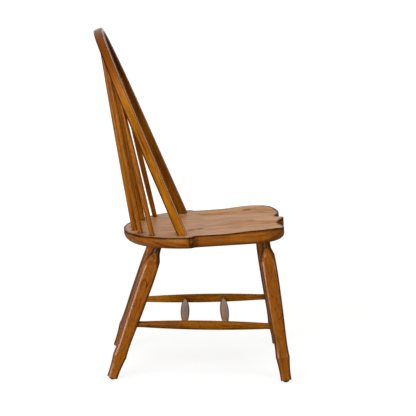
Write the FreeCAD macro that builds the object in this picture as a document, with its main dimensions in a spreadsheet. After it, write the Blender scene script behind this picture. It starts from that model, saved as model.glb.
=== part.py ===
import FreeCAD, Part
import Sketcher
import math
import os

# Bow back chair. A carved saddle seat carries a bent hoop with seven turned
# spindles and stands on four raked legs tied by a box of turned stretchers.
# Every joint is a round tenon glued into a blind mortise. Each foot has a
# moulded glide on a nail. X runs across the chair, Y from front to back and
# Z up. The floor is Z = 0 and the origin is the middle of the footprint.

V = FreeCAD.Vector

# Driving sizes, in millimetres and degrees. Places called ahead, behind and
# spread are measured from the middle of the seat, as on a maker's drawing.
SIZES = {
    # Seat board and its outline
    "seat_height": 441.5,
    "seat_tilt": 3.7,
    "seat_thickness": 37,
    "carving_allowance": 7,
    "back_radius": 233,
    "shoulder_round": 14,
    "shoulder_hollow": 16,
    "shoulder_behind": 8,
    "waist_inset": 22,
    "lobe_radius": 90,
    "lobe_inset": 109,
    "lobe_ahead": 158,
    "notch_radius": 60,
    "pommel_radius": 30,
    "pommel_ahead": 255,
    "under_round": 16,
    "back_sweep_rise": 24,
    "back_sweep_run": 30,
    "back_sweep_bulge": 8,
    # Saddle carved into the top
    "saddle_depth": 10,
    "saddle_start_behind": 18,
    "saddle_start_run": 45,
    "saddle_rim": 16,
    "saddle_rim_run": 62,
    "saddle_front_depth": 6,
    "ridge_width": 34,
    "ridge_start_behind": 20,
    "ridge_run": 190,
    "corner_rise": 5,
    "corner_rise_ahead": 60,
    "corner_rise_spread": 120,
    "corner_rise_run": 100,
    "carving_step": 24,
    # Bow, measured on its own leaning plane
    "bow_behind": 53.2,
    "bow_lean": 23.1,
    "bow_foot_inset": 53,
    "bow_leg_angle": 5.7,
    "bow_side_radius": 511,
    "bow_crown_inset": 101,
    "bow_length": 632,
    "bow_width": 18,
    "bow_depth": 28,
    "bow_corner": 5,
    "bow_tenon_radius": 7.5,
    "bow_tenon_length": 26,
    # Spindles
    "spindle_row_radius": 230,
    "spindle_row_inset": 30,
    "spindle_foot_clearance": 24,
    "spindle_top_clearance": 63,
    "spindle_foot_radius": 7.3,
    "spindle_swell_radius": 8.3,
    "spindle_swell_share": 0.45,
    "spindle_top_radius": 5.6,
    "spindle_foot_run": 8,
    "spindle_top_run": 46,
    "outer_top_run": 98,
    "spindle_tenon_length": 21,
    # Legs
    "rear_top_inset": 58.7,
    "rear_top_angle": 44.4,
    "rear_leg_run_back": 140.5,
    "rear_leg_run_out": 54,
    "front_top_ahead_of_lobe": 32.5,
    "front_top_outside_lobe": 17,
    "front_leg_run_ahead": 63,
    "front_leg_run_out": 70,
    "leg_foot_width": 31.5,
    "leg_toe_width": 33.5,
    "leg_toe_rise": 34,
    "leg_ankle_width": 41,
    "leg_ankle_rise": 68,
    "leg_waist_width": 38.7,
    "leg_calf_width": 42.8,
    "leg_thigh_width": 45,
    "leg_belly_width": 46,
    "leg_shoulder_width": 41.5,
    "leg_head_width": 36,
    "leg_corner": 10,
    "leg_dome_drop": 86,
    "leg_dome_radius": 31,
    "leg_dome_middle_drop": 57,
    "leg_dome_middle_radius": 24.5,
    "leg_cove_drop": 35,
    "leg_cove_radius": 17,
    "leg_cove_middle_drop": 23,
    "leg_cove_middle_radius": 13.2,
    "leg_neck_drop": 12,
    "leg_neck_radius": 12,
    "leg_tenon_length": 26,
    # Stretchers
    "stretcher_height": 163.3,
    "side_end_radius": 9.2,
    "side_swell_radius": 13.8,
    "side_past_axis": 5,
    "side_mortise_reach": 42,
    "cross_end_radius": 6.8,
    "cross_swell_radius": 13.8,
    "cross_past_axis": 2,
    "cross_mortise_reach": 28,
    "front_cross_ahead": 75,
    "rear_cross_behind": 46.5,
    # Glides and their nails
    "glide_radius": 11,
    "glide_height": 7,
    "glide_flat_depth": 0.5,
    "nail_radius": 1.4,
    "nail_length": 18,
    "nail_head_radius": 4,
    "nail_head_thickness": 1.2,
    "nail_head_cover": 1.6,
    # Fits and tools
    "glue_gap": 0.1,
    "overrun": 12,
}
SPINDLE_PAIRS = 3

# Places, and the bow's crown radius, that follow the seat board's outline by named distances.
PLACES = {
    "waist_spread": "back_radius - waist_inset",
    "lobe_spread": "back_radius - lobe_inset",
    "bow_foot_spread": "back_radius - bow_foot_inset",
    "bow_crown_radius": "bow_foot_spread - bow_crown_inset",
    "spindle_row_ahead": "spindle_row_radius - back_radius + spindle_row_inset",
    "spindle_foot_step": f"(bow_foot_spread - spindle_foot_clearance) / {SPINDLE_PAIRS}",
    "spindle_top_step": f"(bow_foot_spread - spindle_top_clearance) / {SPINDLE_PAIRS}",
    "rear_top_spread": "(back_radius - rear_top_inset) * sin(rear_top_angle)",
    "rear_top_behind": "(back_radius - rear_top_inset) * cos(rear_top_angle)",
    "rear_foot_spread": "rear_top_spread + rear_leg_run_out",
    "rear_foot_behind": "rear_top_behind + rear_leg_run_back",
    "front_top_spread": "lobe_spread + front_top_outside_lobe",
    "front_top_ahead": "lobe_ahead + front_top_ahead_of_lobe",
    "front_foot_spread": "front_top_spread + front_leg_run_out",
    "front_foot_ahead": "front_top_ahead + front_leg_run_ahead",
}

doc = FreeCAD.newDocument("bow_back_chair")
sheet = doc.addObject("Spreadsheet::Sheet", "Sizes")
rows = iter(range(1, 1000))


def write_size(alias, value):
    """Puts one named number on the sheet and returns its formula."""
    row = next(rows)
    sheet.set(f"A{row}", alias)
    sheet.set(f"B{row}", str(value))
    sheet.setAlias(f"B{row}", alias)
    sheet.recompute()
    return f"Sizes.{alias}"


for alias, value in SIZES.items():
    write_size(alias, value)
for alias, formula in PLACES.items():
    write_size(alias, f"={formula}")


def size(alias):
    """Reads one size back from the sheet."""
    return float(sheet.get(alias))


def number(formula):
    """Value of a formula of sheet sizes, or of a plain number."""
    if isinstance(formula, str):
        return float(sheet.evalExpression(formula))
    return float(formula)


def origin_plane(body, role):
    """One of the body's own origin planes, such as XY_Plane."""
    return next(item for item in body.Origin.OriginFeatures if item.Role == role)


def new_body(label, placement=None):
    """An empty body that becomes one named piece."""
    body = doc.addObject("PartDesign::Body", label)
    body.Label = label
    if placement is not None:
        body.Placement = placement
    return body


def draw(body, name, role, corners, arcs=None, closed=True, lift=None):
    """Draws a constrained outline on one of the body's origin planes.

    Each corner is a pair of formulas, across and along. arcs gives, for the
    edge that leaves a corner, a point that it passes through. lift raises
    the sketch from its plane.
    """
    arcs = arcs or {}
    sketch = body.newObject("Sketcher::SketchObject", name)
    sketch.AttachmentSupport = [(origin_plane(body, role), "")]
    sketch.MapMode = "FlatFace"
    if lift is not None:
        sketch.setExpression("AttachmentOffset.Base.z", lift)
    places = [V(number(across), number(along), 0) for across, along in corners]
    count = len(corners) if closed else len(corners) - 1
    rules = []
    formulas = []

    def hold(edge, end, across, along):
        for kind, zero_axis, formula in (("DistanceX", -2, across), ("DistanceY", -1, along)):
            if number(formula) == 0:
                rules.append(Sketcher.Constraint("PointOnObject", edge, end, zero_axis))
            else:
                if isinstance(formula, str):
                    formulas.append((len(rules), formula))
                rules.append(Sketcher.Constraint(kind, -1, 1, edge, end, number(formula)))

    ends = []
    for index in range(count):
        start = places[index]
        finish = places[(index + 1) % len(places)]
        if index in arcs:
            middle = V(number(arcs[index][0]), number(arcs[index][1]), 0)
            edge = sketch.addGeometry(Part.Arc(start, middle, finish), False)
        else:
            edge = sketch.addGeometry(Part.LineSegment(start, finish), False)
        to_first = sketch.getPoint(edge, 1).distanceToPoint(start)
        to_second = sketch.getPoint(edge, 2).distanceToPoint(start)
        ends.append((edge, 1, 2) if to_first <= to_second else (edge, 2, 1))
        hold(edge, ends[-1][1], *corners[index])
        if index in arcs:
            mark = sketch.addGeometry(Part.Point(middle), True)
            hold(mark, 1, *arcs[index])
            rules.append(Sketcher.Constraint("PointOnObject", mark, 1, edge))
    for index in range(count if closed else count - 1):
        edge, _, finish = ends[index]
        other, start, _ = ends[(index + 1) % count]
        rules.append(Sketcher.Constraint("Coincident", edge, finish, other, start))
    if not closed:
        hold(ends[-1][0], ends[-1][2], *corners[-1])
    sketch.addConstraint(rules)
    for index, formula in formulas:
        sketch.setExpression(f"Constraints[{index}]", formula)
    return sketch


def rounded_square(width, corner, centre="0"):
    """Corners and arcs of a square, or of a (across, along) pair, with round corners."""
    across, along = width if isinstance(width, tuple) else (width, width)
    inset = f"{corner} * (1 - sqrt(0.5))"
    corners = []
    arcs = {}
    for side, rise in ((1, 1), (-1, 1), (-1, -1), (1, -1)):
        straight = (f"{centre} + {side} * {across} / 2",
                    f"{rise} * ({along} / 2 - {corner})")
        turned = (f"{centre} + {side} * ({across} / 2 - {corner})",
                  f"{rise} * {along} / 2")
        pair = [straight, turned] if side == rise else [turned, straight]
        arcs[len(corners)] = (f"{centre} + {side} * ({across} / 2 - {inset})",
                              f"{rise} * ({along} / 2 - {inset})")
        corners += pair
    return corners, arcs


def turn(body, name, corners, arcs=None):
    """Revolves a half outline of radius and height about the body's Z axis."""
    sketch = draw(body, name + "_outline", "XZ_Plane", corners, arcs)
    revolution = body.newObject("PartDesign::Revolution", name)
    revolution.Profile = sketch
    revolution.ReferenceAxis = (sketch, ["V_Axis"])
    revolution.Angle = 360
    return revolution


def aim(start, finish):
    """Placement with its origin at start and its Z axis towards finish.

    Its X axis stays near to the chair's X axis, so a squared leg faces the
    side. On a piece that runs across the chair it stays near to Z.
    """
    along = (finish - start).normalize()
    beside = V(0, 0, 1) if abs(along.x) > abs(along.z) else V(1, 0, 0)
    back = along.cross(beside).normalize()
    across = back.cross(along)
    return FreeCAD.Placement(FreeCAD.Matrix(
        across.x, back.x, along.x, start.x,
        across.y, back.y, along.y, start.y,
        across.z, back.z, along.z, start.z,
        0, 0, 0, 1))


def round_feature(body, kind, name, start, finish, radius, length):
    """Adds a round tenon or cuts a round mortise, from start towards finish."""
    feature = body.newObject(f"PartDesign::{kind}Cylinder", name)
    feature.setExpression("Radius", radius)
    feature.setExpression("Height", length)
    feature.Placement = body.Placement.inverse() * aim(start, finish)
    return feature


def towards(start, finish, distance):
    """The point at a distance from start on the way to finish."""
    return start + (finish - start).normalize() * distance


# Frame of the seat: its own board lies flat, then tips up at the front.

tilt = math.radians(size("seat_tilt"))


def rear_reach():
    """How far the bow's crown reaches behind the middle of the seat."""
    lean = math.radians(size("bow_lean"))
    corner = size("bow_corner")
    crown = size("bow_behind") + size("bow_length") * math.sin(lean)
    half_width = (size("bow_width") / 2 - corner) * math.sin(lean)
    half_depth = (size("bow_depth") / 2 - corner) * math.cos(lean)
    return crown + half_width + half_depth + corner


def leg_ends(end):
    """Foot and top of a right-hand leg's axis, before the origin is set."""
    way = -1 if end == "front" else 1
    place = "ahead" if end == "front" else "behind"
    foot = V(size(f"{end}_foot_spread"), way * size(f"{end}_foot_{place}"), 0)
    spread = size(f"{end}_top_spread")
    back = way * size(f"{end}_top_{place}")
    under = size("seat_height") - size("seat_thickness") / math.cos(tilt)
    top = V(spread, back, under - back * math.tan(tilt))
    return foot, top


def foot_lift(direction):
    """Height of the foot's end above the floor, set by the domed glide."""
    lean = direction.getAngle(V(0, 0, 1))
    return (dome_radius() - size("glide_flat_depth")
            - (dome_radius() - size("glide_height")) * math.cos(lean))


def dome_radius():
    """Radius of the glide's dome, from its height and width."""
    height = size("glide_height")
    return (height ** 2 + size("glide_radius") ** 2) / (2 * height)


def front_reach():
    """How far the front feet, or the pommel, reach ahead of the seat's middle."""
    foot, top = leg_ends("front")
    along = (top - foot).normalize()
    back = along.cross(V(1, 0, 0)).normalize()
    across = back.cross(along)
    end = foot + along * (foot_lift(along) / along.z)
    corner = size("leg_corner")
    flat = size("leg_foot_width") / 2 - corner
    toe = flat * (abs(across.y) + abs(back.y)) + corner * math.hypot(across.y, back.y)
    return max(toe - end.y, size("pommel_ahead") * math.cos(tilt))


# The origin lies midway between the rearmost and the foremost point.
MIDDLE = V(0, (front_reach() - rear_reach()) / 2, 0)


def on_seat(across, ahead):
    """Point of the flat seat top, from places measured along the board."""
    return MIDDLE + V(across, -ahead * math.cos(tilt), size("seat_height") + ahead * math.sin(tilt))


seat_normal = V(0, math.sin(tilt), math.cos(tilt))
seat_placement = FreeCAD.Placement(on_seat(0, 0), FreeCAD.Rotation(V(1, 0, 0), -size("seat_tilt")))

# Bow: its path is a straight leg, a long side arc and the crown arc, all
# tangent, on a plane that leans back from the seat.

lean = math.radians(size("bow_lean"))
bow_foot = on_seat(0, -size("bow_behind"))
bow_placement = FreeCAD.Placement(bow_foot, FreeCAD.Rotation(V(1, 0, 0), 90 - size("bow_lean")))
bow_leg_angle = math.radians(size("bow_leg_angle"))


def bow_joints():
    """Centres of the bow's two arcs and the points where its parts join."""
    side_radius = size("bow_side_radius")
    crown_radius = size("bow_crown_radius")
    foot = V(size("bow_foot_spread"), 0, 0)
    up = V(-math.sin(bow_leg_angle), math.cos(bow_leg_angle), 0)
    inward = V(-math.cos(bow_leg_angle), -math.sin(bow_leg_angle), 0)
    crown_centre = V(0, size("bow_length") - crown_radius, 0)
    offset = foot + inward * side_radius - crown_centre
    half = offset.dot(up)
    rest = half ** 2 - offset.dot(offset) + (side_radius - crown_radius) ** 2
    rise = -half - math.sqrt(rest)
    side_centre = foot + inward * side_radius + up * rise
    upper = crown_centre + (crown_centre - side_centre).normalize() * crown_radius
    lower = foot + up * rise
    return foot, up, side_centre, crown_centre, lower, upper


def bow_point(across):
    """Point on the bow's centre line above the side arc, by its place across."""
    _, _, side_centre, crown_centre, _, upper = bow_joints()
    if abs(across) <= upper.x:
        radius, centre = size("bow_crown_radius"), crown_centre
    else:
        radius, centre = size("bow_side_radius"), side_centre
    rise = centre.y + math.sqrt(radius ** 2 - (abs(across) - centre.x) ** 2)
    return bow_placement.multVec(V(across, rise, 0))


def arc_middle(centre, radius, start, finish):
    """Point halfway along an arc between two of its points."""
    return centre + ((start + finish) / 2 - centre).normalize() * radius


def spindle_ends(index):
    """Point on the seat and point in the bow of a spindle, counted from the middle."""
    across = index * size("spindle_foot_step")
    radius = size("spindle_row_radius")
    behind = math.sqrt(radius ** 2 - across ** 2) - size("spindle_row_ahead")
    return on_seat(across, -behind), bow_point(index * size("spindle_top_step"))


def tip_run(index):
    """Length of a spindle's straight tip. The outer pair meet the bow at a long slant."""
    return "Sizes.outer_top_run" if abs(index) == SPINDLE_PAIRS else "Sizes.spindle_top_run"


spindle_names = {0: "spindle_centre"}
for pair, word in zip(range(1, SPINDLE_PAIRS + 1), ("inner", "middle", "outer")):
    spindle_names[-pair] = f"spindle_{word}_left"
    spindle_names[pair] = f"spindle_{word}_right"


def leg_axis(end, side):
    """Foot end and seat end of a leg's axis, in the chair's frame."""
    foot, top = leg_ends(end)
    along = (top - foot).normalize()
    foot = foot + along * (foot_lift(along) / along.z)
    return MIDDLE + V(side * foot.x, foot.y, foot.z), MIDDLE + V(side * top.x, top.y, top.z)


SIDES = {"left": -1, "right": 1}
legs = {(end, side): leg_axis(end, way) for end in ("front", "rear") for side, way in SIDES.items()}


def leg_point(end, side, height):
    """Point of a leg's axis at a height above the floor."""
    foot, top = legs[end, side]
    return foot + (top - foot) * ((height - foot.z) / (top.z - foot.z))


def side_stretcher_point(side, back):
    """Point of a side stretcher's axis at a place from front to back."""
    rear = leg_point("rear", side, size("stretcher_height"))
    front = leg_point("front", side, size("stretcher_height"))
    return front + (rear - front) * ((back - front.y) / (rear.y - front.y))


cross_places = {
    "front": MIDDLE.y - size("front_cross_ahead"),
    "rear": MIDDLE.y + size("rear_cross_behind"),
}


# Seat: a level board, rounded below, then carved on top and bored for its joints.

def seat_outline():
    """Corners and arcs of half the seat's edge, from the back to the pommel."""
    back_radius = size("back_radius")
    round_radius = size("shoulder_round")
    hollow_radius = size("shoulder_hollow")
    lobe_radius = size("lobe_radius")
    notch_radius = size("notch_radius")
    pommel_radius = size("pommel_radius")

    def crossing(first, first_reach, second, second_reach, way):
        """Where two circles, about first and second, meet on one side."""
        gap = second - first
        distance = gap.Length
        share = (first_reach ** 2 - second_reach ** 2 + distance ** 2) / (2 * distance)
        height = math.sqrt(first_reach ** 2 - share ** 2)
        gap = gap / distance
        return first + gap * share + V(-gap.y, gap.x, 0) * height * way

    middle = V(0, 0, 0)
    hollow = V(size("waist_spread") + hollow_radius, -size("shoulder_behind"), 0)
    shoulder = crossing(middle, back_radius - round_radius,
                        hollow, round_radius + hollow_radius, -1)
    lobe = V(size("lobe_spread"), size("lobe_ahead"), 0)
    pommel = V(0, size("pommel_ahead") - pommel_radius, 0)
    notch = crossing(lobe, lobe_radius + notch_radius, pommel, pommel_radius + notch_radius, -1)

    # The side line touches the hollow from the left and the lobe from the right.
    gap = lobe - hollow
    reach = hollow_radius + lobe_radius
    turn_angle = math.atan2(gap.y, gap.x) - math.acos(-reach / gap.Length)
    square = V(math.cos(turn_angle), math.sin(turn_angle), 0)

    joints = [
        V(0, -back_radius, 0),
        V(shoulder).normalize() * back_radius,
        shoulder + (hollow - shoulder).normalize() * round_radius,
        hollow - square * hollow_radius,
        lobe + square * lobe_radius,
        lobe + (notch - lobe).normalize() * lobe_radius,
        pommel + (notch - pommel).normalize() * pommel_radius,
        V(0, size("pommel_ahead"), 0),
    ]
    curves = {
        0: (middle, back_radius),
        1: (shoulder, round_radius),
        2: (hollow, hollow_radius),
        4: (lobe, lobe_radius),
        5: (notch, notch_radius),
        6: (pommel, pommel_radius),
    }
    arcs = {}
    for index, (centre, radius) in curves.items():
        point = arc_middle(centre, radius, joints[index], joints[index + 1])
        arcs[index] = (point.x, -point.y)
    return [(joint.x, -joint.y) for joint in joints], arcs


def smooth(share):
    """Rises from 0 to 1 with level ends."""
    share = min(max(share, 0), 1)
    return share ** 2 * (3 - 2 * share)


def carved_height(across, ahead):
    """Depth of the saddle: two thigh hollows with a ridge running to the pommel."""
    rim = smooth((size("waist_spread") - size("saddle_rim") - abs(across)) / size("saddle_rim_run"))
    start = smooth((ahead + size("saddle_start_behind")) / size("saddle_start_run"))
    forward = smooth((ahead + size("ridge_start_behind")) / size("ridge_run"))
    depth = size("saddle_depth") + (size("saddle_front_depth") - size("saddle_depth")) * forward
    ridge = forward * math.exp(-((across / size("ridge_width")) ** 2))
    aside = smooth((abs(across) - size("corner_rise_spread")) / size("corner_rise_run"))
    ahead_share = smooth((ahead - size("corner_rise_ahead")) / size("corner_rise_run"))
    return size("corner_rise") * aside * ahead_share - depth * rim * start * (1 - ridge)


def saddle_tool():
    """Solid that stands on the carved surface and clears the board's top."""
    step = size("carving_step")
    reach = size("back_radius") + size("overrun")
    front = size("pommel_ahead") + size("overrun")
    across_count = math.ceil(2 * reach / step)
    along_count = math.ceil((reach + front) / step)
    grid = []
    for column in range(across_count + 1):
        across = -reach + 2 * reach * column / across_count
        line = []
        for row in range(along_count + 1):
            ahead = -reach + (reach + front) * row / along_count
            line.append(V(across, -ahead, carved_height(across, ahead)))
        grid.append(line)
    surface = Part.BSplineSurface()
    surface.interpolate(grid)
    lift = V(0, 0, size("carving_allowance") + size("overrun"))
    return surface.toShape().extrude(lift)


seat_board = new_body("seat_board", seat_placement)
outline = draw(seat_board, "seat_outline", "XY_Plane", *seat_outline())
board = seat_board.newObject("PartDesign::Pad", "board")
board.Profile = outline
board.setExpression("Length", "Sizes.seat_thickness + Sizes.carving_allowance")
outline.setExpression("AttachmentOffset.Base.z", "-Sizes.seat_thickness")
doc.recompute()
halves = seat_board.newObject("PartDesign::Mirrored", "halves")
halves.Originals = [board]
halves.MirrorPlane = (origin_plane(seat_board, "YZ_Plane"), [""])
seat_board.Tip = halves
doc.recompute()


def under_edges(shape):
    """Names of the edges round the board's underside, apart from any seam."""
    low = -size("seat_thickness")
    near = size("glue_gap")
    names = []
    for index, edge in enumerate(shape.Edges, start=1):
        box = edge.BoundBox
        if abs(box.ZMin - low) < near and abs(box.ZMax - low) < near and box.XLength > near:
            names.append(f"Edge{index}")
    return names


board_shape = seat_board.Shape.copy()
board_shape.Placement = FreeCAD.Placement()
rounding = seat_board.newObject("PartDesign::Fillet", "under_rounding")
rounding.Base = (halves, under_edges(board_shape))
rounding.setExpression("Radius", "Sizes.under_round")
seat_board.Tip = rounding
doc.recompute()

# The back of the underside is swept up further, turned about the seat's middle.
wall = "Sizes.back_radius"
under = "-Sizes.seat_thickness"
sweep_outline = draw(
    seat_board, "sweep_outline", "XZ_Plane",
    [(wall, f"{under} + Sizes.back_sweep_rise"), (f"{wall} - Sizes.back_sweep_run", under),
     (f"{wall} - Sizes.back_sweep_run", f"{under} - Sizes.overrun"),
     (f"{wall} + Sizes.overrun", f"{under} - Sizes.overrun"),
     (f"{wall} + Sizes.overrun", f"{under} + Sizes.back_sweep_rise")],
    {0: (f"{wall} - Sizes.back_sweep_bulge", f"{under} + Sizes.back_sweep_bulge")})
sweep = seat_board.newObject("PartDesign::Groove", "back_sweep")
sweep.Profile = sweep_outline
sweep.ReferenceAxis = (sweep_outline, ["V_Axis"])
sweep.Angle = 180
seat_board.Tip = sweep

carving = doc.addObject("Part::Feature", "saddle_carving")
carving.Shape = saddle_tool()
carving.Placement = seat_placement
carved_seat = doc.addObject("Part::Cut", "carved_seat")
carved_seat.Base = seat_board
carved_seat.Tool = carving

# Every mortise in the seat is one round cutter, named after what it takes.
mortises = []


def seat_mortise(name, start, finish, radius, length):
    """Round cutter for the seat, from start towards finish."""
    cutter = doc.addObject("Part::Cylinder", f"mortise_{name}")
    cutter.setExpression("Radius", radius)
    cutter.setExpression("Height", length)
    cutter.Placement = aim(start, finish)
    mortises.append(cutter)


for index, name in spindle_names.items():
    foot, top = spindle_ends(index)
    bottom = towards(foot, top, -size("spindle_tenon_length") - size("glue_gap"))
    seat_mortise(name, bottom, top, "Sizes.spindle_foot_radius + Sizes.glue_gap",
                 "Sizes.spindle_tenon_length + Sizes.overrun")
foot_place, bow_up = bow_joints()[:2]
for side, way in SIDES.items():
    foot = bow_placement.multVec(V(way * foot_place.x, 0, 0))
    up = bow_placement.Rotation.multVec(V(way * bow_up.x, bow_up.y, 0))
    bottom = foot - up * (size("bow_tenon_length") + size("glue_gap"))
    seat_mortise(f"bow_{side}", bottom, foot, "Sizes.bow_tenon_radius + Sizes.glue_gap",
                 "Sizes.bow_tenon_length + Sizes.overrun")
for (end, side), (foot, top) in legs.items():
    tip = towards(top, foot, -size("leg_tenon_length") - size("glue_gap"))
    seat_mortise(f"leg_{end}_{side}", tip, foot, "Sizes.leg_neck_radius + Sizes.glue_gap",
                 "Sizes.leg_tenon_length + Sizes.overrun")
mortise_set = doc.addObject("Part::Compound", "seat_mortises")
mortise_set.Links = mortises
seat = doc.addObject("Part::Cut", "seat")
seat.Base = carved_seat
seat.Tool = mortise_set

# The bow's solid is half swept along its path and mirrored.

bow = new_body("bow", bow_placement)
foot_place, bow_up, side_centre, crown_centre, lower, upper = bow_joints()
crown = V(0, size("bow_length"), 0)
tail = foot_place - bow_up * size("bow_tenon_length")
crown_mark = arc_middle(crown_centre, size("bow_crown_radius"), crown, upper)
side_mark = arc_middle(side_centre, size("bow_side_radius"), upper, lower)
bow_path = draw(
    bow, "bow_path", "XY_Plane",
    [("0", "Sizes.bow_length"), (upper.x, upper.y), (lower.x, lower.y), (tail.x, tail.y)],
    {0: (crown_mark.x, crown_mark.y), 1: (side_mark.x, side_mark.y)}, closed=False)
bow_section = draw(
    bow, "bow_section", "YZ_Plane",
    *rounded_square(("Sizes.bow_width", "Sizes.bow_depth"), "Sizes.bow_corner", "Sizes.bow_length"))
doc.recompute()
half_bow = bow.newObject("PartDesign::AdditivePipe", "half_bow")
half_bow.Profile = bow_section
half_bow.Spine = (bow_path, ["Edge1", "Edge2", "Edge3"])
doc.recompute()
whole_bow = bow.newObject("PartDesign::Mirrored", "whole_bow")
whole_bow.Originals = [half_bow]
whole_bow.MirrorPlane = (origin_plane(bow, "YZ_Plane"), [""])
bow.Tip = whole_bow
doc.recompute()

# The feet are cut to the slope of the seat, then a tenon is left on each.
foot_cut = bow.newObject("PartDesign::SubtractiveBox", "foot_cut")
foot_cut.setExpression("Length", "2 * (Sizes.bow_foot_spread + Sizes.bow_depth + Sizes.overrun)")
foot_cut.setExpression("Width", "2 * (Sizes.bow_depth + Sizes.bow_tenon_length)")
foot_cut.setExpression("Height", "Sizes.bow_tenon_length + Sizes.bow_depth")
corner = on_seat(-size("bow_foot_spread") - size("bow_depth") - size("overrun"),
                 size("bow_depth") + size("bow_tenon_length") - size("bow_behind"))
corner = corner - seat_normal * (size("bow_tenon_length") + size("bow_depth") - size("glue_gap"))
foot_cut.Placement = bow_placement.inverse() * FreeCAD.Placement(corner, seat_placement.Rotation)
for side, way in SIDES.items():
    foot = bow_placement.multVec(V(way * foot_place.x, 0, 0))
    up = bow_placement.Rotation.multVec(V(way * bow_up.x, bow_up.y, 0))
    round_feature(bow, "Additive", f"tenon_{side}", foot - up * size("bow_tenon_length"), foot,
                  "Sizes.bow_tenon_radius", "Sizes.bow_tenon_length + Sizes.overrun")
for index, name in spindle_names.items():
    foot, top = spindle_ends(index)
    round_feature(bow, "Subtractive", f"mortise_{name}", towards(top, foot, -size("glue_gap")), foot,
                  "Sizes.spindle_top_radius + Sizes.glue_gap", tip_run(index))

# Spindles: a straight foot in the seat, a long swell and a straight tip in the bow.

spindles = []
for index, name in spindle_names.items():
    foot, top = spindle_ends(index)
    bottom = towards(foot, top, -size("spindle_tenon_length"))
    length = write_size(f"{name}_length", (top - bottom).Length)
    body = new_body(name, aim(bottom, top))
    start = "(Sizes.spindle_tenon_length + Sizes.spindle_foot_run)"
    finish = f"({length} - {tip_run(index)})"
    turn(body, f"{name}_turning",
         [("0", "0"), ("Sizes.spindle_foot_radius", "0"), ("Sizes.spindle_foot_radius", start),
          ("Sizes.spindle_top_radius", finish), ("Sizes.spindle_top_radius", length), ("0", length)],
         {2: ("Sizes.spindle_swell_radius", f"{start} + ({finish} - {start}) * Sizes.spindle_swell_share")})
    spindles.append(body)

# Legs: squared stock shaped on all faces, then turned to a neck and tenon.

leg_bodies = []
for (end, side), (foot, top) in legs.items():
    name = f"leg_{end}_{side}"
    body = new_body(name, aim(foot, top))
    seat_line = write_size(f"{name}_to_seat", (top - foot).Length)
    full = f"({seat_line} + Sizes.leg_tenon_length)"
    step = f"({full} - Sizes.leg_ankle_rise) / 6"
    stations = {
        "foot": "0",
        "toe": "Sizes.leg_toe_rise",
        "ankle": "Sizes.leg_ankle_rise",
        "waist": f"Sizes.leg_ankle_rise + {step}",
        "calf": f"Sizes.leg_ankle_rise + 2 * {step}",
        "thigh": f"Sizes.leg_ankle_rise + 3 * {step}",
        "belly": f"Sizes.leg_ankle_rise + 4 * {step}",
        "shoulder": f"Sizes.leg_ankle_rise + 5 * {step}",
        "head": full,
    }
    sections = [
        draw(body, f"{name}_{station}", "XY_Plane",
             *rounded_square(f"Sizes.leg_{station}_width", "Sizes.leg_corner"), lift=lift)
        for station, lift in stations.items()]
    doc.recompute()
    for part, first, last in (("foot", 0, 2), ("blade", 2, len(sections) - 1)):
        shaping = body.newObject("PartDesign::AdditiveLoft", f"{name}_{part}_shaping")
        shaping.Profile = sections[first]
        shaping.Sections = sections[first + 1:last + 1]
        doc.recompute()
    clear = "(Sizes.leg_dome_radius + Sizes.overrun)"
    neck = draw(
        body, f"{name}_neck_outline", "XZ_Plane",
        [("Sizes.leg_dome_radius", f"{seat_line} - Sizes.leg_dome_drop"),
         ("Sizes.leg_cove_radius", f"{seat_line} - Sizes.leg_cove_drop"),
         ("Sizes.leg_neck_radius", f"{seat_line} - Sizes.leg_neck_drop"),
         ("Sizes.leg_neck_radius", f"{full} + Sizes.overrun"),
         (clear, f"{full} + Sizes.overrun"),
         (clear, f"{seat_line} - Sizes.leg_dome_drop")],
        {0: ("Sizes.leg_dome_middle_radius", f"{seat_line} - Sizes.leg_dome_middle_drop"),
         1: ("Sizes.leg_cove_middle_radius", f"{seat_line} - Sizes.leg_cove_middle_drop")})
    turning = body.newObject("PartDesign::Groove", f"{name}_neck")
    turning.Profile = neck
    turning.ReferenceAxis = (neck, ["V_Axis"])
    turning.Angle = 360
    other = "rear" if end == "front" else "front"
    joint = leg_point(end, side, size("stretcher_height"))
    far = leg_point(other, side, size("stretcher_height"))
    blind = towards(joint, far, -size("side_past_axis") - size("glue_gap"))
    round_feature(body, "Subtractive", f"{name}_stretcher_mortise", blind, far,
                  "Sizes.side_end_radius + Sizes.glue_gap", "Sizes.side_mortise_reach")
    nail_top = towards(foot, top, size("nail_length") + size("glue_gap"))
    round_feature(body, "Subtractive", f"{name}_nail_hole", nail_top, foot,
                  "Sizes.nail_radius + Sizes.glue_gap", "Sizes.nail_length + Sizes.overrun")
    leg_bodies.append(body)


# Stretchers: one along each side, and two across between them.

def stretcher(name, kind, start, finish):
    """One turned stretcher, straight where it is glued in and fullest in the middle."""
    body = new_body(name, aim(start, finish))
    length = write_size(f"{name}_length", (finish - start).Length)
    end_radius = f"Sizes.{kind}_end_radius"
    run = f"Sizes.{kind}_mortise_reach"
    turn(body, f"{name}_turning",
         [("0", "0"), (end_radius, "0"), (end_radius, run),
          (end_radius, f"{length} - {run}"), (end_radius, length), ("0", length)],
         {2: (f"Sizes.{kind}_swell_radius", f"{length} / 2")})
    return body


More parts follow.
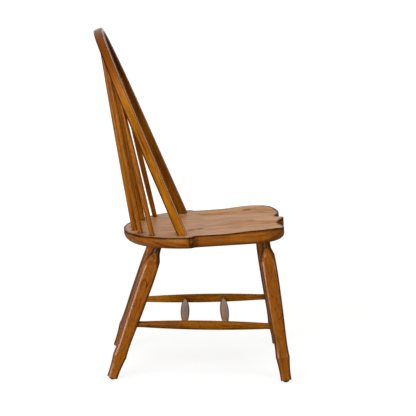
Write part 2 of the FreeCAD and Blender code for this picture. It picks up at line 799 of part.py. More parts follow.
stretchers = []
for side, way in SIDES.items():
    rear = leg_point("rear", side, size("stretcher_height"))
    front = leg_point("front", side, size("stretcher_height"))
    body = stretcher(f"side_stretcher_{side}", "side",
                     towards(front, rear, -size("side_past_axis")),
                     towards(rear, front, -size("side_past_axis")))
    for end, back in cross_places.items():
        axis = side_stretcher_point(side, back)
        middle = V(0, axis.y, axis.z)
        blind = towards(axis, middle, -size("cross_past_axis") - size("glue_gap"))
        round_feature(body, "Subtractive", f"{end}_cross_mortise_{side}", blind, middle,
                      "Sizes.cross_end_radius + Sizes.glue_gap", "Sizes.cross_mortise_reach")
    stretchers.append(body)
for end, back in cross_places.items():
    left = side_stretcher_point("left", back)
    right = side_stretcher_point("right", back)
    stretchers.append(stretcher(f"cross_stretcher_{end}", "cross",
                                towards(left, right, -size("cross_past_axis")),
                                towards(right, left, -size("cross_past_axis"))))

# Glides: a moulded dome on a nail, worn level where it meets the floor.

glides = []
write_size("dome_radius", dome_radius())
doc.recompute()
for (end, side), (foot, top) in legs.items():
    placement = aim(foot, top)
    head_top = "-(Sizes.glide_height - Sizes.nail_head_cover - Sizes.nail_head_thickness)"
    head_low = "-(Sizes.glide_height - Sizes.nail_head_cover)"
    nail = new_body(f"glide_nail_{end}_{side}", placement)
    turn(nail, f"{nail.Label}_shape",
         [("0", head_low), ("Sizes.nail_head_radius", head_low), ("Sizes.nail_head_radius", head_top),
          ("Sizes.nail_radius", head_top), ("Sizes.nail_radius", "Sizes.nail_length - 2 * Sizes.nail_radius"),
          ("0", "Sizes.nail_length")])
    glide = new_body(f"glide_{end}_{side}", placement)
    bore = "(Sizes.nail_radius + Sizes.glue_gap)"
    pocket = "(Sizes.nail_head_radius + Sizes.glue_gap)"
    half_angle = math.asin(size("glide_radius") / dome_radius()) / 2
    dome_middle = (dome_radius() * math.sin(half_angle),
                   dome_radius() - size("glide_height") - dome_radius() * math.cos(half_angle))
    turn(glide, f"{glide.Label}_dome",
         [(bore, "0"), (bore, f"{head_top} + Sizes.glue_gap"), (pocket, f"{head_top} + Sizes.glue_gap"),
          (pocket, f"{head_low} - Sizes.glue_gap"), ("0", f"{head_low} - Sizes.glue_gap"),
          ("0", "-Sizes.glide_height"), ("Sizes.glide_radius", "0")],
         {5: dome_middle})
    level = glide.newObject("PartDesign::SubtractiveBox", f"{glide.Label}_level")
    level.setExpression("Length", "4 * Sizes.glide_radius")
    level.setExpression("Width", "4 * Sizes.glide_radius")
    level.setExpression("Height", "Sizes.glide_height")
    low_corner = V(foot.x, foot.y, 0) - V(2, 2, 0) * size("glide_radius") - V(0, 0, size("glide_height"))
    level.Placement = placement.inverse() * FreeCAD.Placement(low_corner, FreeCAD.Rotation())
    glides += [glide, nail]

doc.recompute()

# Every piece is checked before anything is written.
pieces = [seat, bow] + spindles + leg_bodies + stretchers + glides
for item in doc.Objects:
    if "Invalid" in item.State or "Error" in item.State:
        raise RuntimeError(f"{item.Label} did not build: {item.State}")
for piece in pieces:
    if piece.Shape.isNull() or not piece.Shape.isValid() or len(piece.Shape.Solids) != 1:
        raise RuntimeError(f"{piece.Label} is not one valid solid")

os.makedirs("parts", exist_ok=True)
for piece in pieces:
    piece.Shape.exportStep(f"parts/{piece.Label}.step")
    print(piece.Label, round(piece.Shape.Volume / 1000, 1), "cm3")
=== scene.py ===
"""Dresses the bow back chair: stained and glazed wood that follows each piece's own grain.

The chair stands on a plain pale floor in soft light, seen from its side. Each
sub-assembly is a class that holds its sizes and dresses its pieces.
"""

import logging
import math
from dataclasses import dataclass, replace
from enum import Enum

import bpy
import numpy as np
from mathutils import Matrix, Vector


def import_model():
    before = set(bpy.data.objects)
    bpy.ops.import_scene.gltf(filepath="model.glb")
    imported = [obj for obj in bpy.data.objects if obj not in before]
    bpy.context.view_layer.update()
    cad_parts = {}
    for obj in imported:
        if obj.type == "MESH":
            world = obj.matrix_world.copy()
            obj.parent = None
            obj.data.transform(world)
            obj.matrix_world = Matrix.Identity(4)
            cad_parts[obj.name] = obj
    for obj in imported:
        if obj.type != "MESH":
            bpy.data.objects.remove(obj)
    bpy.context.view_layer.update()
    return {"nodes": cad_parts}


log = logging.getLogger("chair")

Colour = tuple[float, float, float]
Place = tuple[float, float, float]
Span = tuple[float, float]
Piece = bpy.types.Object
Pieces = dict[str, Piece]
Socket = bpy.types.NodeSocket

IMAGE_SIDE = 416
SENSOR = 36.0
SIDEWAYS = Vector((1, 0, 0))
BACKWARDS = Vector((0, 1, 0))
UPWARDS = Vector((0, 0, 1))


class Figure(Enum):
    """How the wood was cut, which sets what its face shows."""

    BENT = "straight grain of a bent strip"
    TURNED = "fine lines along a turned spindle"
    SQUARED = "rings and arches on a squared leg"
    BOARD = "wide bands along a seat board"


class Glaze(Enum):
    """Where the dark antique glaze, and painted shade with it, lies on a piece."""

    JOINTS = "only where pieces meet"
    CORNERS = "along the corners of a squared section too"
    RIM = "along a crisp edge too"


@dataclass(frozen=True)
class WoodTones:
    """The stain's tones.

    Attributes:
        light: Early wood.
        middle: The wood between early and late.
        dark: Late wood, pores and flecks.
        glaze: The dark glaze over them, also the colour of the painted shade.
    """

    light: Colour
    middle: Colour
    dark: Colour
    glaze: Colour


AMBER = WoodTones(light=(0.365, 0.114, 0.0014), middle=(0.275, 0.078, 0.0007),
                  dark=(0.090, 0.020, 0.0005), glaze=(0.014, 0.0032, 0.0006))
# A darker copy of the amber tones, painted shade for the near side stretcher.
SHADED_AMBER = replace(AMBER, light=(0.305, 0.101, 0.0010), middle=(0.230, 0.069, 0.0006),
               dark=(0.080, 0.018, 0.0004))
HONEY = WoodTones(light=(0.400, 0.135, 0.0026), middle=(0.290, 0.088, 0.0014),
                  dark=(0.105, 0.025, 0.0006), glaze=(0.012, 0.0028, 0.0006))
BRIGHT = WoodTones(light=(0.450, 0.156, 0.0040), middle=(0.345, 0.110, 0.0022),
                   dark=(0.135, 0.033, 0.0009), glaze=(0.024, 0.0044, 0.0007))
BROAD = WoodTones(light=(0.385, 0.124, 0.0045), middle=(0.285, 0.079, 0.0016),
                  dark=(0.105, 0.024, 0.0008), glaze=(0.004, 0.0018, 0.0010))
# Worn stain and painted sheen on the faces that look up.
WEAR_AND_SHEEN = (0.600, 0.318, 0.1400)
# Painted highlight: the pale line along the hoop's front corners, where the light catches them.
CORNER_HIGHLIGHT_PAINT = (0.620, 0.450, 0.3700)

# Each span goes from where a thing begins to show to where it shows fully.
LATE_WOOD = (0.30, 0.90)
RING_END = (1.0, 0.92)
TO_MIDDLE = (0.0, 0.5)
TO_DARK = (0.45, 1.05)
BLOT = (1.1, 0.3)
ARCH_LINE = (0.16, 0.03)
ARCH_END = (-0.1, 0.7)
CLOSED_IN = (0.30, 0.72)
LEVEL_FACE = (0.75, 0.96)
SEAT_RIM = (0.003, 0.02)
# Corners are darkened partly by glaze and partly by painted shade, where the faces turn from the
# light.
LEG_CORNER = (0.86, 0.97)
HOOP_CORNER = (0.62, 0.76)
# Where a front corner lies, for the painted highlight, the cleared glaze and the extra shine.
FRONT_CORNER_LINE = (0.80, 0.91)

# These spans are in metres.
FRONT_CORNER_SIDE = (-0.002, 0.002)
# Painted shade on the legs' faces that look fore and aft and on the hoop's inner faces.
LEG_SIDE_SHADE = (0.0, 0.003)
HOOP_INSIDE_SHADE = (-0.0068, -0.0086)
CROWN_DARKENING = (0.30, 0.10)
CROWN_SHINE = (0.13, 0.05)
NECK_EDGE = (-0.004, 0.003)
NOSE_EDGE = (0.012, -0.012)

# The most of a thing that shows.
PORE_SHARE = 0.40
SPECK_SHARE = 0.75
JOINT_AND_SHADE_SHARE = 0.92
RIM_SHARE = 0.97
NECK_SHADE_SHARE = 0.70
LEG_CORNER_SHARE = 0.75
HOOP_CORNER_SHARE = 0.85
# How strongly the highlight is painted on the front corners.
CORNER_HIGHLIGHT_SHARE = 0.6
CLEARED_SHARE = 0.85
DULLED_GLOSS = 0.8
DULLED_COAT = 0.9
UNEVEN_SHINE = 0.16
UNEVEN_MARK = 0.5

PITH_DEPTH = 1.3
NECK_ARCH = 90.0
RIM_REACH = 0.0130
FIBRE_HEIGHT = 0.6
RELIEF_STRENGTH = 0.15
RELIEF_DEPTH = 0.0002


class Graph:
    """A tree of nodes, with short calls for the ones that a finish needs."""

    def __init__(self, owner: bpy.types.Material | bpy.types.World) -> None:
        """Empties the tree of a material or of the world.

        Args:
            owner: What the tree belongs to.
        """
        owner.use_nodes = True
        self.tree = owner.node_tree
        self.tree.nodes.clear()

    def add(self, kind: str) -> bpy.types.Node:
        """Adds a node of a kind."""
        return self.tree.nodes.new(kind)

    def link(self, source: Socket, target: Socket) -> None:
        """Joins two sockets."""
        self.tree.links.new(source, target)

    def feed(self, targets: object, *values: object) -> None:
        """Gives each input a socket's result or a plain value.

        Args:
            targets: The inputs.
            values: For each, a socket, a number, a sequence of numbers, or None to leave it.
        """
        for target, value in zip(targets, values):
            if isinstance(value, Socket):
                self.link(value, target)
            elif value is not None:
                target.default_value = value

    def math(self, operation: str, first: object, second: object = None,
             third: object = None, clamp: bool = False) -> Socket:
        """Works out one sum on numbers.

        Args:
            operation: The node's operation, such as MULTIPLY.
            first: The first value or socket.
            second: The second, if the operation has one.
            third: The third, if the operation has one.
            clamp: Whether the result is held between 0 and 1.

        Returns:
            The result's socket.
        """
        node = self.add("ShaderNodeMath")
        node.operation = operation
        node.use_clamp = clamp
        self.feed(node.inputs, first, second, third)
        return node.outputs[0]

    def plus(self, first: object, second: object) -> Socket:
        """The sum of two numbers."""
        return self.math("ADD", first, second)

    def minus(self, first: object, second: object) -> Socket:
        """The first number less the second."""
        return self.math("SUBTRACT", first, second)

    def times(self, first: object, second: object) -> Socket:
        """The product of two numbers."""
        return self.math("MULTIPLY", first, second)

    def scaled(self, value: object, factor: object, offset: object) -> Socket:
        """A number times a factor, plus an offset."""
        return self.math("MULTIPLY_ADD", value, factor, offset)

    def larger(self, first: object, second: object) -> Socket:
        """The larger of two numbers."""
        return self.math("MAXIMUM", first, second)

    def size(self, value: object) -> Socket:
        """A number without its sign."""
        return self.math("ABSOLUTE", value)

    def weighed(self, first: object, weight: object, second: object, other: object) -> Socket:
        """The sum of two numbers, each times the weight that follows it."""
        return self.scaled(first, weight, self.times(second, other))

    def reach(self, first: object, second: object) -> Socket:
        """The long side of a right angle: the root of both numbers squared and added."""
        return self.math("SQRT", self.weighed(first, first, second, second))

    def choose(self, chosen: Socket, first: Socket, second: Socket) -> Socket:
        """The first number where chosen is 1, and the second where it is 0."""
        return self.scaled(self.minus(first, second), chosen, second)

    def place(self) -> Socket:
        """The point being shaded, in the object's own coordinates."""
        return self.add("ShaderNodeTexCoord").outputs["Object"]

    def vector(self, operation: str, first: object, second: object = None) -> bpy.types.Node:
        """Adds a node for one sum on vectors.

        Args:
            operation: The node's operation, such as SUBTRACT.
            first: The first vector or socket.
            second: The second, if the operation has one.

        Returns:
            The node.
        """
        node = self.add("ShaderNodeVectorMath")
        node.operation = operation
        self.feed(node.inputs, first, second)
        return node

    def dot(self, vector: Socket, axis: object) -> Socket:
        """How far a vector reaches along an axis."""
        return self.vector("DOT_PRODUCT", vector, axis).outputs["Value"]

    def less(self, vector: Socket, point: Vector) -> Socket:
        """A vector measured from a point."""
        return self.vector("SUBTRACT", vector, point).outputs["Vector"]

    def join(self, *parts: object) -> Socket:
        """Makes a vector.

        Args:
            parts: Its three numbers.

        Returns:
            The vector's socket.
        """
        node = self.add("ShaderNodeCombineXYZ")
        self.feed(node.inputs, *parts)
        return node.outputs[0]

    def noise(self, vector: Socket, scale: float, detail: float = 3.0,
              roughness: float = 0.5, distortion: float = 0.0) -> Socket:
        """Smooth noise between 0 and 1.

        Args:
            vector: Where to read it.
            scale: How fine it is.
            detail: How many finer layers it has.
            roughness: How strong the finer layers are.
            distortion: How much it is stirred.

        Returns:
            The noise value's socket.
        """
        node = self.add("ShaderNodeTexNoise")
        sockets = [node.inputs[name] for name in
                   ("Vector", "Scale", "Detail", "Roughness", "Distortion")]
        self.feed(sockets, vector, scale, detail, roughness, distortion)
        return node.outputs["Fac"]

    def rise(self, value: object, low: float, high: float, start: float = 0.0,
             finish: float = 1.0) -> Socket:
        """Eases from start to finish as a value goes from low to high.

        Args:
            value: The value or socket.
            low: Where the rise begins.
            high: Where it ends.
            start: The result up to low.
            finish: The result from high.

        Returns:
            The result's socket.
        """
        node = self.add("ShaderNodeMapRange")
        node.interpolation_type = "SMOOTHSTEP"
        self.feed(node.inputs, value, low, high, start, finish)
        return node.outputs["Result"]

    def blend(self, share: object, first: object, second: object) -> Socket:
        """Mixes two colours.

        Args:
            share: How much of the second is used.
            first: The first colour or socket.
            second: The second colour or socket.

        Returns:
            The mixed colour's socket.
        """
        node = self.add("ShaderNodeMix")
        node.data_type = "RGBA"
        colours = [(*colour, 1.0) if isinstance(colour, tuple) else colour
                   for colour in (first, second)]
        self.feed((node.inputs["Factor"], node.inputs[6], node.inputs[7]), share, *colours)
        return node.outputs[2]

    def hollow_share(self, distance: float) -> Socket:
        """How closed in a point is by what stands around it.

        Args:
            distance: How far round it to look, in metres.

        Returns:
            A share from 0 to 1.
        """
        node = self.add("ShaderNodeAmbientOcclusion")
        node.samples = 8
        node.inputs["Distance"].default_value = distance
        return self.math("SUBTRACT", 1.0, node.outputs["AO"], clamp=True)

    def rim_share(self, radius: float) -> Socket:
        """How near a point is to a sharp edge: how far the face turns once it is rounded.

        Args:
            radius: The radius that the edge is rounded to, in metres.

        Returns:
            A share from 0 to 1.
        """
        bevel = self.add("ShaderNodeBevel")
        bevel.samples = 6
        bevel.inputs["Radius"].default_value = radius
        facing = self.add("ShaderNodeNewGeometry").outputs["True Normal"]
        return self.math("SUBTRACT", 1.0, self.dot(bevel.outputs[0], facing), clamp=True)


class Surface(Graph):
    """The tree of a new material, with its shader."""

    def __init__(self, name: str) -> None:
        """Starts the material.

        Args:
            name: The material's name.
        """
        self.material = bpy.data.materials.new(name)
        super().__init__(self.material)
        output = self.add("ShaderNodeOutputMaterial")
        self.shader = self.add("ShaderNodeBsdfPrincipled")
        self.link(self.shader.outputs["BSDF"], output.inputs["Surface"])

    def set(self, name: str, value: object) -> None:
        """Sets one of the shader's inputs, to a socket's result or a plain value."""
        self.feed([self.shader.inputs[name]], value)

    def bump(self, height: Socket) -> None:
        """Gives the shader a fine relief.

        Args:
            height: The relief's height.
        """
        node = self.add("ShaderNodeBump")
        node.inputs["Strength"].default_value = RELIEF_STRENGTH
        node.inputs["Distance"].default_value = RELIEF_DEPTH
        self.link(height, node.inputs["Height"])
        self.set("Normal", node.outputs["Normal"])


@dataclass(frozen=True)
class Fibres:
    """Where the shaded point lies in a piece of wood.

    Attributes:
        graph: The tree of the piece's material.
        seed: Moves its patterns, so that no two pieces match.
        along: Distance along the fibres, in metres.
        across: Distance across them.
        through: Distance square to both.
    """

    graph: Surface
    seed: float
    along: Socket
    across: Socket
    through: Socket


@dataclass(frozen=True)
class Grain:
    """The straight frame that a piece's grain follows.

    Attributes:
        start: A point on the piece's middle line, in metres.
        along: Unit vector along the fibres.
        across: Unit vector across them.
    """

    start: Vector
    along: Vector
    across: Vector

    @property
    def through(self) -> Vector:
        """Unit vector square to the other two."""
        return self.along.cross(self.across).normalized()

    @classmethod
    def of_piece(cls, piece: Piece, beside: Vector) -> "Grain":
        """Finds the long axis of a piece as the main direction of its points.

        Args:
            piece: A finished mesh object.
            beside: The direction that across stays nearest to.

        Returns:
            The grain frame, which starts at the top end of the piece.
        """
        points = np.empty(len(piece.data.vertices) * 3)
        piece.data.vertices.foreach_get("co", points)
        points = points.reshape(-1, 3)
        centre = points.mean(0)
        _, _, axes = np.linalg.svd(points - centre, full_matrices=False)
        along = axes[0] * np.sign(axes[0][np.argmax(np.abs(axes[0]))])
        end = ((points - centre) @ along).max()
        start, along = Vector(centre + along * end), Vector(along)
        across = (beside - along * along.dot(beside)).normalized()
        return cls(start, along, across)

    def follow(self, graph: Surface, seed: float) -> Fibres:
        """Measures the shaded point in this frame.

        Args:
            graph: The material's tree.
            seed: Moves its patterns.

        Returns:
            Where the point lies in the wood.
        """
        local = graph.less(graph.place(), self.start)
        axes = self.along, self.across, self.through
        return Fibres(graph, seed, *(graph.dot(local, axis) for axis in axes))


@dataclass(frozen=True)
class BentGrain:
    """The grain of the hoop, which follows its bend.

    The hoop's middle line lies in a leaning plane. It is a straight leg, a
    long side arc that the leg touches, and a crown arc that the side arc
    touches, and then the same again mirrored.

    Attributes:
        base: The middle of the line between its feet, in metres.
        lean: How far the plane leans back.
        spread: Half the distance between the feet.
        leg_angle: How far each leg leans inwards.
        side_radius: Radius of each side arc.
        crown_radius: Radius of the crown arc.
        length: Height of the hoop in its plane.
    """

    base: Vector = Vector((0.0, 0.0293, 0.43807))
    lean: float = math.radians(23.1)
    spread: float = 0.180
    leg_angle: float = math.radians(5.7)
    side_radius: float = 0.511
    crown_radius: float = 0.079
    length: float = 0.632

    @property
    def rise(self) -> Vector:
        """Unit vector up the hoop's plane."""
        return Vector((0.0, math.sin(self.lean), math.cos(self.lean)))

    @property
    def face(self) -> Vector:
        """Unit vector out of the hoop's front face."""
        return Vector((0.0, -math.cos(self.lean), math.sin(self.lean)))

    @property
    def crown_middle(self) -> Vector:
        """Middle of the crown arc, in the plane."""
        return Vector((0.0, self.length - self.crown_radius))

    @property
    def side_middle(self) -> Vector:
        """Middle of the side arc, where it touches both the leg and the crown.

        Returns:
            Its place in the plane.
        """
        inward = Vector((-math.cos(self.leg_angle), -math.sin(self.leg_angle)))
        upward = Vector((-math.sin(self.leg_angle), math.cos(self.leg_angle)))
        level = Vector((self.spread, 0.0)) + inward * self.side_radius
        offset = level - self.crown_middle
        half = offset.dot(upward)
        rest = half ** 2 - offset.dot(offset) + (self.side_radius - self.crown_radius) ** 2
        return level + upward * (-half - math.sqrt(rest))

    def follow(self, graph: Surface, seed: float) -> Fibres:
        """Measures the shaded point along, across and through the bend.

        On an arc, along is the arc's radius times the angle turned and across is
        the distance from the arc. Along counts from the middle of the crown.

        Args:
            graph: The material's tree.
            seed: Moves its patterns.

        Returns:
            Where the point lies in the wood.
        """
        local = graph.less(graph.place(), self.base)
        wide = graph.dot(local, SIDEWAYS)
        up = graph.dot(local, self.rise)
        away = graph.size(wide)
        crown, side = self.crown_middle, self.side_middle
        cosine, sine = math.cos(self.leg_angle), math.sin(self.leg_angle)
        joint = math.atan2(crown.x - side.x, crown.y - side.y)
        on_crown = self.arc(graph, away, up, crown, self.crown_radius, 0.0, 0.0)
        turned = self.crown_radius * joint
        on_side = self.arc(graph, away, up, side, self.side_radius, joint, turned)
        turned += self.side_radius * (math.pi / 2 - self.leg_angle - joint)
        leg_end = side + Vector((cosine, sine)) * self.side_radius
        leg_start = leg_end.x * sine - leg_end.y * cosine
        on_leg = (graph.plus(graph.weighed(away, sine, up, -cosine), turned - leg_start),
                  graph.minus(graph.weighed(away, cosine, up, sine), self.spread * cosine))
        top = graph.math("GREATER_THAN", up, crown.y + self.crown_radius * math.cos(joint))
        low = graph.math("LESS_THAN", up, leg_end.y)
        along, across = (
            graph.choose(low, leg, graph.choose(top, above, beside))
            for leg, above, beside in zip(on_leg, on_crown, on_side))
        return Fibres(graph, seed, graph.times(along, graph.math("SIGN", wide)), across,
                      graph.dot(local, self.face))

    @staticmethod
    def arc(graph: Graph, wide: Socket, up: Socket, middle: Vector, radius: float,
            start: float, before: float) -> tuple[Socket, Socket]:
        """Measures a point against an arc.

        Args:
            graph: The material's tree.
            wide: The point's distance from the middle plane.
            up: Its height in the hoop's plane.
            middle: The arc's middle.
            radius: The arc's radius.
            start: Angle from the upright where the arc begins.
            before: Length of the hoop from the crown to there.

        Returns:
            The distance along the hoop and the distance from the arc.
        """
        out = graph.minus(wide, middle.x)
        rise = graph.minus(up, middle.y)
        angle = graph.math("ARCTAN2", out, rise)
        along = graph.scaled(graph.minus(angle, start), radius, before)
        return along, graph.minus(graph.reach(out, rise), radius)


@dataclass(frozen=True)
class Layer:
    """One layer of noise that is drawn out along the fibres.

    Attributes:
        run: Its scale along the fibres, per metre.
        fine: Its scale across them, per metre.
        shift: Moves it away from the other layers of the same piece.
        detail: How many finer layers it has.
        roughness: How strong the finer layers are.
        distortion: How much it is stirred.
        span: The levels where it begins to show and where it shows fully.
        shares: How much of it shows at those two levels.
    """

    run: float
    fine: float
    shift: float = 0.0
    detail: float = 2.0
    roughness: float = 0.5
    distortion: float = 0.0
    span: Span = (0.0, 1.0)
    shares: Span = (0.0, 1.0)

    def place(self, fibres: Fibres) -> Socket:
        """Where the layer is read: each distance in the wood times its scale.

        Args:
            fibres: Where the point lies in the wood.

        Returns:
            The place.
        """
        graph = fibres.graph
        run = graph.scaled(fibres.along, self.run, fibres.seed + self.shift)
        wide, deep = (graph.times(way, self.fine) for way in (fibres.across, fibres.through))
        return graph.join(run, wide, deep)

    def level(self, fibres: Fibres) -> Socket:
        """The layer's noise at the shaded point, from 0 to 1."""
        return fibres.graph.noise(self.place(fibres), 1.0, self.detail, self.roughness,
                                  self.distortion)

    def eased(self, graph: Graph, level: Socket) -> Socket:
        """How much of the layer shows at a level."""
        return graph.rise(level, *self.span, *self.shares)

    def shown(self, fibres: Fibres) -> Socket:
        """How much of the layer shows at the shaded point."""
        return self.eased(fibres.graph, self.level(fibres))


RING_WANDER = Layer(2.4, 9.0, roughness=0.45)
PORES = Layer(70.0, 1300.0, span=(0.58, 0.70))
PATCHES = Layer(6.0, 26.0, shift=3.0, detail=3.0, roughness=0.55,
                span=(0.34, 0.70), shares=(-0.06, 0.34))
FLECKS = Layer(85.0, 300.0, shift=7.0, span=(0.52, 0.66))
STREAKS = Layer(7.0, 55.0, shift=5.0, detail=4.0, roughness=0.6,
                span=(0.36, 0.62), shares=(0.30, 1.25))
BREAKS = Layer(30.0, 90.0, detail=3.0, roughness=0.6, span=(0.22, 0.50), shares=(0.72, 1.0))
HANDLING = Layer(12.0, 30.0, detail=3.0)
SPECKS = Layer(42.0, 60.0, span=(0.085, 0.045))


@dataclass(frozen=True)
class Cut:
    """How a figure's rings, fibres and patches are spaced.

    Attributes:
        ring: Width of a growth ring, in metres.
        pith: How far the heart of the tree lies from the piece's middle.
        run: How often the fibres break, per metre of length.
        fine: How fine the fibres are, per metre of width.
        ring_share: How strongly the rings show.
        fibre_share: How strongly the fibres show.
        fleck_share: How strongly the short dark flecks show.
        stir: How far the rings wander, in metres.
        flat: How much deeper than wide the section is.
    """

    ring: float
    pith: float
    run: float
    fine: float
    ring_share: float
    fibre_share: float
    fleck_share: float
    stir: float
    flat: float = 1.0

    @property
    def threads(self) -> Layer:
        """The layer of fine fibres."""
        return Layer(self.run, self.fine, detail=4.0, roughness=0.62, distortion=0.3,
                     span=(0.34, 0.70))


CUTS = {
    Figure.BENT: Cut(ring=0.0065, pith=0.060, run=9.0, fine=330.0, ring_share=0.26,
                     fibre_share=0.72, fleck_share=0.40, stir=0.020, flat=1.55),
    Figure.TURNED: Cut(ring=0.0060, pith=0.040, run=14.0, fine=330.0, ring_share=0.22,
                       fibre_share=0.66, fleck_share=0.50, stir=0.020),
    Figure.SQUARED: Cut(ring=0.0075, pith=0.034, run=26.0, fine=300.0, ring_share=0.16,
                        fibre_share=0.46, fleck_share=0.55, stir=0.024),
    Figure.BOARD: Cut(ring=0.0170, pith=0.110, run=6.0, fine=150.0, ring_share=0.34,
                      fibre_share=0.42, fleck_share=0.15, stir=0.055),
}


@dataclass(frozen=True)
class Mark:
    """A knot, a streak or the arch of one growth ring, on a face of a piece.

    Attributes:
        along: Place of its middle along the fibres, in metres.
        across: Place of its middle across them.
        length: Half its length.
        width: Half its width.
        turn: Angle from the fibres, in degrees.
        strength: How dark it is.
        arch: Whether only its outline shows, strongest at the upper end.
    """

    along: float
    across: float
    length: float
    width: float
    turn: float = 0.0
    strength: float = 0.8
    arch: bool = False

    def share(self, fibres: Fibres, stir: Socket) -> Socket:
        """How much of the mark shows at the shaded point.

        Args:
            fibres: Where the point lies in the wood.
            stir: Slow noise that makes its outline uneven.

        Returns:
            A share from 0 to its strength.
        """
        graph = fibres.graph
        ahead = graph.minus(fibres.along, self.along)
        aside = graph.minus(fibres.across, self.across)
        way = Vector((math.cos(math.radians(self.turn)), math.sin(math.radians(self.turn))))
        run = graph.weighed(ahead, way.x / self.length, aside, way.y / self.length)
        off = graph.weighed(aside, way.x / self.width, ahead, -way.y / self.width)
        uneven = graph.scaled(stir, UNEVEN_MARK, -UNEVEN_MARK / 2)
        reach = graph.plus(graph.reach(run, off), uneven)
        if not self.arch:
            return graph.rise(reach, *BLOT, 0.0, self.strength)
        line = graph.rise(graph.size(graph.minus(reach, 1.0)), *ARCH_LINE)
        return graph.times(line, graph.rise(run, *ARCH_END, 0.0, self.strength))


@dataclass(frozen=True)
class WoodFinish:
    """Stained wood under a satin varnish.

    Attributes:
        tones: The stain's colours.
        figure: How the wood was cut.
        glaze: Where the dark glaze, and the painted shade with it, lies.
        roughness: How matt the varnish is.
        coat: How strong its clear top coat is.
        coat_roughness: How matt the top coat is.
        burnish: How much more the coat shines on the front corners, where hands and cloth rub
            them; where it is set, a pale line is also painted along them as a highlight.
        neck: How far down from the top the turned neck is darkened, in metres, by glaze and by
            painted shade under the seat.
        nose: How far down from the top the squared faces begin.
        shaded: How much painted shade darkens the faces that look fore and aft, or inwards on the
            hoop.
        gloss: How strongly the varnish reflects when seen straight on.
        closeness: How near another piece must be for the dark to gather, in metres: glaze in the
            joints and painted shade between pieces.
        crown: How much darker the hoop is round its crown.
        worn: How far the faces that look up are paled, partly as stain rubbed away and partly as a
            painted sheen.
        marks: The knots, streaks and arches that are seen on it.
    """

    tones: WoodTones
    figure: Figure
    glaze: Glaze
    roughness: float = 0.33
    coat: float = 0.30
    coat_roughness: float = 0.15
    burnish: float = 0.0
    neck: float = 0.0
    nose: float = 0.0
    shaded: float = 0.0
    gloss: float = 0.10
    closeness: float = 0.016
    crown: float = 0.0
    worn: float = 0.0
    marks: tuple[Mark, ...] = ()

    def material(self, name: str, grain: Grain | BentGrain, seed: float) -> bpy.types.Material:
        """Builds the material of one piece.

        Args:
            name: The material's name.
            grain: The frame that the fibres follow.
            seed: Moves the pattern, so that no two pieces match.

        Returns:
            The material.
        """
        graph = Surface(name)
        fibres = grain.follow(graph, seed)
        colour, relief = self.wood(fibres)
        # The hoop is darker round its crown.
        if self.crown:
            deep = graph.rise(graph.size(fibres.along), *CROWN_DARKENING, 0.0, self.crown)
            colour = graph.blend(deep, colour, self.tones.dark)
        # Faces that look up are paled: partly stain rubbed away, partly a painted sheen.
        if self.worn:
            facing = graph.add("ShaderNodeNewGeometry").outputs["Normal"]
            level = graph.rise(graph.dot(facing, UPWARDS), *LEVEL_FACE, 0.0, self.worn)
            worn = graph.times(level, STREAKS.shown(fibres))
            colour = graph.blend(worn, colour, WEAR_AND_SHEEN)
        colour = self.specked(fibres, colour)
        # Painted highlight: a pale line along the front corners.
        if self.burnish:
            line = graph.times(self.front_corner(fibres), CORNER_HIGHLIGHT_SHARE)
            colour = graph.blend(line, colour, CORNER_HIGHLIGHT_PAINT)
        # Dark glaze, with painted shade in closed-in places, under the seat, along corners and on
        # side faces.
        glaze, thick = self.glaze_shares(fibres)
        graph.set("Base Color", graph.blend(glaze, colour, self.tones.glaze))
        self.varnish(fibres, relief, thick)
        return graph.material

    def rings(self, fibres: Fibres) -> Socket:
        """Growth rings: the distance from a far pith, stirred by slow noise, cut into equal steps.

        Args:
            fibres: Where the point lies in the wood.

        Returns:
            How much late wood shows, from 0 to 1.
        """
        graph, cut = fibres.graph, CUTS[self.figure]
        slow = RING_WANDER.level(fibres)
        wander = graph.scaled(slow, 2 * cut.stir, -cut.stir)
        side = graph.plus(graph.plus(fibres.across, cut.pith), wander)
        depth = graph.plus(graph.plus(fibres.through, cut.pith * PITH_DEPTH), wander)
        count = graph.math("DIVIDE", graph.reach(side, depth), cut.ring)
        step = graph.math("FRACT", count)
        return graph.times(graph.rise(step, *LATE_WOOD), graph.rise(step, *RING_END))

    def wood(self, fibres: Fibres) -> tuple[Socket, Socket]:
        """Rings, fine fibres, open pores and slow patches of stain, laid over each other.

        Args:
            fibres: Where the point lies in the wood.

        Returns:
            The colour and the height of the fine relief.
        """
        graph, cut, tones = fibres.graph, CUTS[self.figure], self.tones
        threads = cut.threads.level(fibres)
        pores = PORES.shown(fibres)
        tone = graph.weighed(self.rings(fibres), cut.ring_share,
                             cut.threads.eased(graph, threads), cut.fibre_share)
        tone = graph.math("ADD", tone, PATCHES.shown(fibres), clamp=True)
        colour = graph.blend(graph.rise(tone, *TO_MIDDLE), tones.light, tones.middle)
        colour = graph.blend(graph.rise(tone, *TO_DARK), colour, tones.dark)
        flecks = graph.times(FLECKS.shown(fibres), cut.fleck_share)
        colour = graph.blend(flecks, colour, tones.dark)
        colour = graph.blend(graph.times(pores, PORE_SHARE), colour, tones.dark)
        return colour, graph.weighed(threads, FIBRE_HEIGHT, pores, -1.0)

    def specked(self, fibres: Fibres, colour: Socket) -> Socket:
        """Adds the small dark specks of a distressed finish, one here and there.

        Args:
            fibres: Where the point lies in the wood.
            colour: The wood's colour.

        Returns:
            The colour with its specks.
        """
        graph = fibres.graph
        cells = graph.add("ShaderNodeTexVoronoi")
        cells.inputs["Scale"].default_value = 1.0
        graph.link(SPECKS.place(fibres), cells.inputs["Vector"])
        speck = SPECKS.eased(graph, cells.outputs["Distance"])
        return graph.blend(graph.times(speck, SPECK_SHARE), colour, self.tones.glaze)

